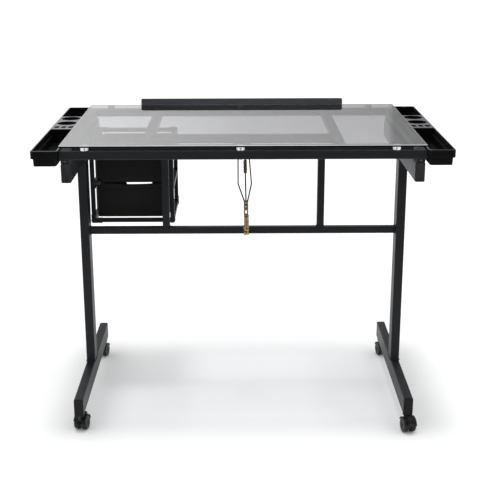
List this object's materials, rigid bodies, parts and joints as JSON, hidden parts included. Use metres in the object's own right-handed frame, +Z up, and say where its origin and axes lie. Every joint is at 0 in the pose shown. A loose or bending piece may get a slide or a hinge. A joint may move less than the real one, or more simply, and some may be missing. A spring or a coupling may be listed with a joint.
{
  "type": "drafting table",
  "caption": "Drafting table with a tilting glass top on a steel stand, side trays, a pencil ledge, a tilt stay, hanging fabric drawers and locking casters.",
  "frame": {"origin": "on the floor below the middle of the glass top", "axes": "+X to the right seen from behind the table, +Y towards the user, +Z up"},
  "size_m": [1.053, 0.64, 0.818],
  "materials": {
    "frame": "black powder coat, fine satin texture",
    "plastic": "moulded black plastic, semi-gloss",
    "wheel": "black nylon",
    "pad": "black rubber",
    "glass": "clear tempered glass with polished edges",
    "standoff": "polished metal",
    "hardware": "yellow zinc plate, dull",
    "channel": "yellow zinc plate, bright",
    "cloth": "black woven cloth on a stiff lining"
  },
  "bodies": {
    "stand": {"left_foot": "frame", "right_foot": "frame", "left_post": "frame", "right_post": "frame", "left_arm": "frame", "right_arm": "frame", "left_foot_rear_cap": "plastic", "left_foot_front_cap": "plastic", "right_foot_rear_cap": "plastic", "right_foot_front_cap": "plastic", "lower_rail": "frame", "upper_rail": "frame", "left_upright": "frame", "right_upright": "frame", "left_rest_pad": "pad", "right_rest_pad": "pad", "left_hinge_lower_leaf": "hardware", "right_hinge_lower_leaf": "hardware", "stay_lower_bracket": "hardware", "drawer_left_frame": "frame", "drawer_right_frame": "frame", "drawer_rear_bottom_tube": "frame", "drawer_front_bottom_tube": "frame", "drawer_front_top_tube": "frame", "drawer_hanger": "frame"},
    "table_top": {"top_rear_tube": "frame", "top_front_tube": "frame", "top_left_tube": "frame", "top_right_tube": "frame", "top_left_inner_tube": "frame", "top_right_inner_tube": "frame", "top_cross_tube": "frame", "glass_top": "glass", "standoff_rear_left": "standoff", "standoff_rear_middle": "standoff", "standoff_rear_right": "standoff", "standoff_front_left": "standoff", "standoff_front_middle": "standoff", "standoff_front_right": "standoff", "left_hinge_upper_leaf": "hardware", "right_hinge_upper_leaf": "hardware", "stay_upper_bracket": "hardware", "left_tray": "plastic", "right_tray": "plastic"},
    "ledge": {"pencil_ledge": "frame"},
    "lower_drawer": {"lower_drawer_bin": "cloth"},
    "upper_drawer": {"upper_drawer_bin": "cloth"},
    "stay_channel": {"stay_channel": "channel"},
    "stay_plate": {"stay_ratchet_plate": "hardware"},
    "stay_yoke": {"stay_yoke": "hardware"},
    "rear_left_caster": {"rear_left_caster_hood": "plastic"},
    "rear_left_wheels": {"rear_left_caster_wheels": "wheel"},
    "rear_right_caster": {"rear_right_caster_hood": "plastic"},
    "rear_right_wheels": {"rear_right_caster_wheels": "wheel"},
    "front_left_caster": {"front_left_caster_hood": "plastic"},
    "front_left_wheels": {"front_left_caster_wheels": "wheel"},
    "front_right_caster": {"front_right_caster_hood": "plastic"},
    "front_right_wheels": {"front_right_caster_wheels": "wheel"},
    "rear_left_brake": {"rear_left_brake_lever": "plastic"},
    "rear_right_brake": {"rear_right_brake_lever": "plastic"}
  },
  "joints": [
    {"name": "table_tilt", "type": "hinge", "parent": "stand", "child": "table_top", "pos_m": [0, 0.2765, 0.7575], "axis": [-1, 0, 0], "range_deg": [0, 20]},
    {"name": "ledge_slide", "type": "slide", "parent": "table_top", "child": "ledge", "axis": [0, 0, 1], "range_m": [-0.013, 0]},
    {"name": "upper_drawer_slide", "type": "slide", "parent": "stand", "child": "upper_drawer", "axis": [0, 1, 0], "range_m": [0, 0.17]},
    {"name": "lower_drawer_slide", "type": "slide", "parent": "stand", "child": "lower_drawer", "axis": [0, 1, 0], "range_m": [0, 0.17]},
    {"name": "stay_swing", "type": "hinge", "parent": "stand", "child": "stay_channel", "pos_m": [0.0105, -0.02476, 0.49613], "axis": [-1, 0, 0], "range_deg": [0, 9.6]},
    {"name": "stay_plate_slide", "type": "slide", "parent": "stay_channel", "child": "stay_plate", "axis": [0, -0.3423, 0.9396], "range_m": [0, 0.0456]},
    {"name": "stay_yoke_slide", "type": "slide", "parent": "stay_plate", "child": "stay_yoke", "axis": [0, -0.3423, 0.9396], "range_m": [0, 0.0801]},
    {"name": "rear_left_swivel", "type": "hinge", "parent": "stand", "child": "rear_left_caster", "pos_m": [-0.445, -0.2635, 0.05], "axis": [0, 0, 1], "continuous": true},
    {"name": "rear_left_roll", "type": "hinge", "parent": "rear_left_caster", "child": "rear_left_wheels", "pos_m": [-0.4425, -0.25176, 0.02], "axis": [-0.9781, 0.2079, 0], "continuous": true},
    {"name": "rear_right_swivel", "type": "hinge", "parent": "stand", "child": "rear_right_caster", "pos_m": [0.445, -0.2635, 0.05], "axis": [0, 0, 1], "continuous": true},
    {"name": "rear_right_roll", "type": "hinge", "parent": "rear_right_caster", "child": "rear_right_wheels", "pos_m": [0.44749, -0.27524, 0.02], "axis": [0.9781, 0.2079, 0], "continuous": true},
    {"name": "front_left_swivel", "type": "hinge", "parent": "stand", "child": "front_left_caster", "pos_m": [-0.445, 0.2635, 0.05], "axis": [0, 0, 1], "continuous": true},
    {"name": "front_left_roll", "type": "hinge", "parent": "front_left_caster", "child": "front_left_wheels", "pos_m": [-0.44749, 0.25176, 0.02], "axis": [0.9781, -0.2079, 0], "continuous": true},
    {"name": "front_right_swivel", "type": "hinge", "parent": "stand", "child": "front_right_caster", "pos_m": [0.445, 0.2635, 0.05], "axis": [0, 0, 1], "continuous": true},
    {"name": "front_right_roll", "type": "hinge", "parent": "front_right_caster", "child": "front_right_wheels", "pos_m": [0.44749, 0.25176, 0.02], "axis": [0.9781, 0.2079, 0], "continuous": true},
    {"name": "rear_left_brake_press", "type": "hinge", "parent": "rear_left_caster", "child": "rear_left_brake", "pos_m": [-0.44105, -0.24491, 0.0462], "axis": [-0.9781, 0.2079, 0], "range_deg": [0, 4]},
    {"name": "rear_right_brake_press", "type": "hinge", "parent": "rear_right_caster", "child": "rear_right_brake", "pos_m": [0.44895, -0.28208, 0.0462], "axis": [0.9781, 0.2079, 0], "range_deg": [0, 4]}
  ],
  "couplings": [
    {"joint": "stay_swing", "follows": "table_tilt", "ratio": 0.47913},
    {"joint": "stay_plate_slide", "follows": "table_tilt", "m_per_rad": 0.13035},
    {"joint": "stay_yoke_slide", "follows": "table_tilt", "m_per_rad": 0.22905}
  ]
}
